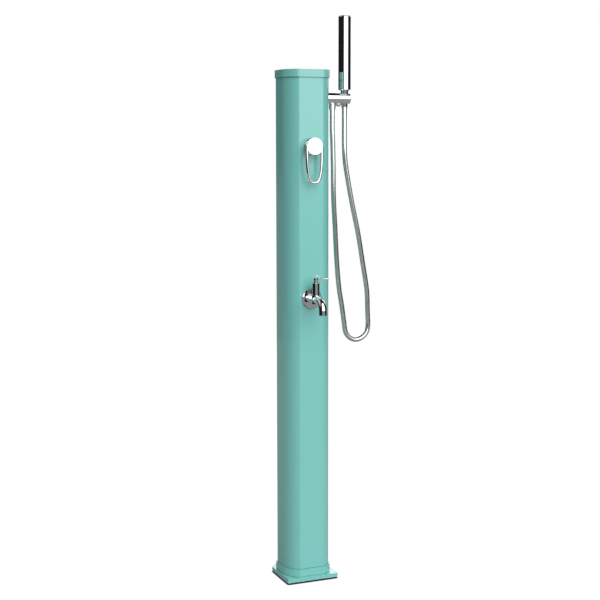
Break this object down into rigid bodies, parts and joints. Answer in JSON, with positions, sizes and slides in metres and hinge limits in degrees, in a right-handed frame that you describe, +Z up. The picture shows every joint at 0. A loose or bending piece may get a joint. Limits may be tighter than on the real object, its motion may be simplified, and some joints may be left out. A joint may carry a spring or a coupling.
{
  "type": "outdoor shower post",
  "caption": "Outdoor shower post: painted column with a loop lever mixer, a low tap with a curved spout and a cylindrical hand shower on a metal hose.",
  "frame": {"origin": "centre of the floor bolts on the underside of the gasket, at the ground", "axes": "+Z up, -Y out of the front face with the mixer and the tap, +X towards the hand shower"},
  "size_m": [0.3007, 0.2575, 1.66],
  "materials": {
    "paint": "semi-gloss turquoise powder coat",
    "chrome": "polished",
    "hose": "polished metal spiral",
    "brass": "machined",
    "copper": "drawn copper pipe",
    "steel": "brushed",
    "rubber": "matte",
    "plastic": "moulded",
    "ceramic": "lapped ceramic",
    "spray": "soft nozzles and grey plate"
  },
  "bodies": {
    "post": {"base_gasket": "rubber", "base_plate": "paint", "base_collar": "paint", "post_foot": "steel", "foot_screws": "steel", "post_shell": "paint", "top_cap": "paint", "cap_screws": "steel", "pipe_bracket": "steel", "cold_inlet": "brass", "hot_inlet": "brass", "inlet_nuts": "brass", "cold_riser_lower": "copper", "cold_riser_upper": "copper", "hot_riser": "copper", "shower_pipe": "copper", "mixer_body": "brass", "mixer_rosette": "chrome", "mixer_dome": "chrome", "cartridge_housing": "plastic", "cartridge_nut": "brass", "cartridge_base": "plastic", "cartridge_seal": "rubber", "fixed_disc": "ceramic", "holder_bracket": "chrome", "bracket_seal": "rubber", "bracket_locknut": "brass", "shower_elbow": "brass", "hose_nut": "chrome", "hose_nut_washer": "rubber", "hose_tail": "chrome", "hose": "hose", "tap_rosette": "chrome", "tap_body": "chrome", "tap_locknut": "brass", "tap_manifold": "brass", "tap_bonnet": "chrome", "tap_fixed_disc": "ceramic", "tap_aerator": "plastic"},
    "mixer_turner": {"cartridge_carrier": "plastic", "stem_pin": "steel"},
    "mixer_lever": {"cartridge_stem": "steel", "mixer_cup": "chrome", "handle_screw": "steel", "mixer_cap": "chrome", "lever_loop": "chrome"},
    "mixer_valve": {"moving_disc": "ceramic"},
    "tap_handle": {"tap_turning_disc": "ceramic", "tap_spindle": "brass", "tap_lever": "chrome", "tap_lever_screw": "steel"},
    "hose_swivel": {"hose_end": "chrome"},
    "hand_shower": {"hose_cone": "chrome", "handset_washer": "rubber", "handset_body": "chrome", "handset_neck": "chrome", "handset_core": "plastic", "spray_plate": "spray", "spray_nozzles": "spray"}
  },
  "joints": [
    {"name": "mixer_turn", "type": "hinge", "parent": "post", "child": "mixer_turner", "pos_m": [0, -0.06, 1.282], "axis": [0, -1, 0], "range_deg": [-45, 45]},
    {"name": "mixer_lift", "type": "hinge", "parent": "mixer_turner", "child": "mixer_lever", "pos_m": [0, -0.06, 1.282], "axis": [-1, 0, 0], "range_deg": [0, 20]},
    {"name": "mixer_valve", "type": "slide", "parent": "mixer_turner", "child": "mixer_valve", "axis": [0, 0, -1], "range_m": [0, 0.0055]},
    {"name": "tap_turn", "type": "hinge", "parent": "post", "child": "tap_handle", "pos_m": [0, -0.085, 0.845], "axis": [0, 0, -1], "range_deg": [0, 90]},
    {"name": "hand_shower_lift", "type": "slide", "parent": "post", "child": "hose_swivel", "axis": [0, 0, 1], "range_m": [0, 0.045], "deforming": ["hose"]},
    {"name": "hand_shower_turn", "type": "hinge", "parent": "hose_swivel", "child": "hand_shower", "pos_m": [0.134, 0.015, 1.421], "axis": [0, 0, 1], "continuous": true}
  ],
  "couplings": [
    {"joint": "mixer_valve", "follows": "mixer_lift", "m_per_rad": 0.0154}
  ]
}
